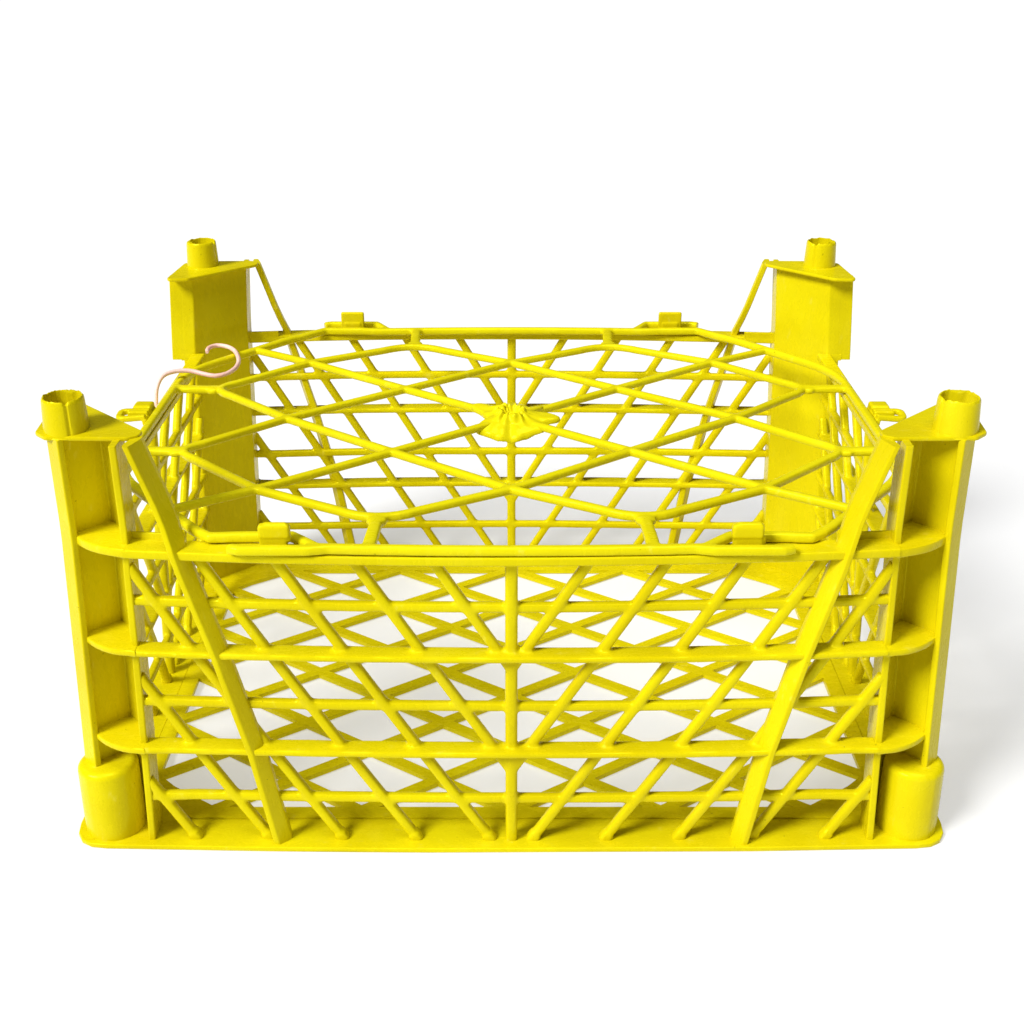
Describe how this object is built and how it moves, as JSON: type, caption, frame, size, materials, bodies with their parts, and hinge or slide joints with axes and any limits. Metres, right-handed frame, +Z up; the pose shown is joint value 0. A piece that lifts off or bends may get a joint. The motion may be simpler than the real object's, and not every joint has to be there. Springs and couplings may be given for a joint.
{
  "type": "stacking crate",
  "caption": "Yellow plastic stacking crate with open lattice walls, corner posts with stacking pegs, and a clip-on diamond lattice lid.",
  "frame": {"origin": "middle of the footprint, on the surface the crate stands on", "axes": "+X along the length to the right, +Y to the back, +Z up"},
  "size_m": [0.4, 0.318, 0.2125],
  "materials": {
    "crate_plastic": "glossy injection moulding, lemon yellow",
    "lid_plastic": "glossy injection moulding, lemon yellow",
    "cord": "soft pale pink cord"
  },
  "bodies": {
    "crate": {"base_flange": "crate_plastic", "floor_lattice": "crate_plastic", "wall_front": "crate_plastic", "wall_back": "crate_plastic", "wall_left": "crate_plastic", "wall_right": "crate_plastic", "rim_front": "crate_plastic", "rim_back": "crate_plastic", "rim_left": "crate_plastic", "rim_right": "crate_plastic", "post_front_left": "crate_plastic", "post_front_right": "crate_plastic", "post_back_left": "crate_plastic", "post_back_right": "crate_plastic", "top_plate_front_left": "crate_plastic", "top_plate_front_right": "crate_plastic", "top_plate_back_left": "crate_plastic", "top_plate_back_right": "crate_plastic", "peg_front_left": "crate_plastic", "peg_front_right": "crate_plastic", "peg_back_left": "crate_plastic", "peg_back_right": "crate_plastic", "foot_front_left": "crate_plastic", "foot_front_right": "crate_plastic", "foot_back_left": "crate_plastic", "foot_back_right": "crate_plastic", "brace_front_left": "crate_plastic", "brace_front_right": "crate_plastic", "brace_back_left": "crate_plastic", "brace_back_right": "crate_plastic"},
    "lid": {"lid_frame": "lid_plastic", "lid_lattice": "lid_plastic", "lid_gate_boss": "lid_plastic", "tie_cord": "cord"},
    "catch_front_left_body": {"catch_front_left": "crate_plastic"},
    "catch_front_right_body": {"catch_front_right": "crate_plastic"},
    "catch_back_left_body": {"catch_back_left": "crate_plastic"},
    "catch_back_right_body": {"catch_back_right": "crate_plastic"},
    "catch_left_body": {"catch_left": "crate_plastic"},
    "catch_right_body": {"catch_right": "crate_plastic"}
  },
  "joints": [
    {"name": "lid_lift", "type": "slide", "parent": "crate", "child": "lid", "axis": [0, 0, 1], "range_m": [0, 0.1]},
    {"name": "catch_front_left_flex", "type": "hinge", "parent": "crate", "child": "catch_front_left_body", "pos_m": [-0.0963, -0.1515, 0.1523], "axis": [1, 0, 0], "range_deg": [0, 8], "stiffness_Nm_per_rad": 0.5},
    {"name": "catch_front_right_flex", "type": "hinge", "parent": "crate", "child": "catch_front_right_body", "pos_m": [0.0963, -0.1515, 0.1523], "axis": [1, 0, 0], "range_deg": [0, 8], "stiffness_Nm_per_rad": 0.5},
    {"name": "catch_back_left_flex", "type": "hinge", "parent": "crate", "child": "catch_back_left_body", "pos_m": [-0.0963, 0.1515, 0.1523], "axis": [-1, 0, 0], "range_deg": [0, 8], "stiffness_Nm_per_rad": 0.5},
    {"name": "catch_back_right_flex", "type": "hinge", "parent": "crate", "child": "catch_back_right_body", "pos_m": [0.0963, 0.1515, 0.1523], "axis": [-1, 0, 0], "range_deg": [0, 8], "stiffness_Nm_per_rad": 0.5},
    {"name": "catch_left_flex", "type": "hinge", "parent": "crate", "child": "catch_left_body", "pos_m": [-0.1858, 0, 0.1523], "axis": [0, -1, 0], "range_deg": [0, 8], "stiffness_Nm_per_rad": 0.5},
    {"name": "catch_right_flex", "type": "hinge", "parent": "crate", "child": "catch_right_body", "pos_m": [0.1858, 0, 0.1523], "axis": [0, 1, 0], "range_deg": [0, 8], "stiffness_Nm_per_rad": 0.5}
  ]
}
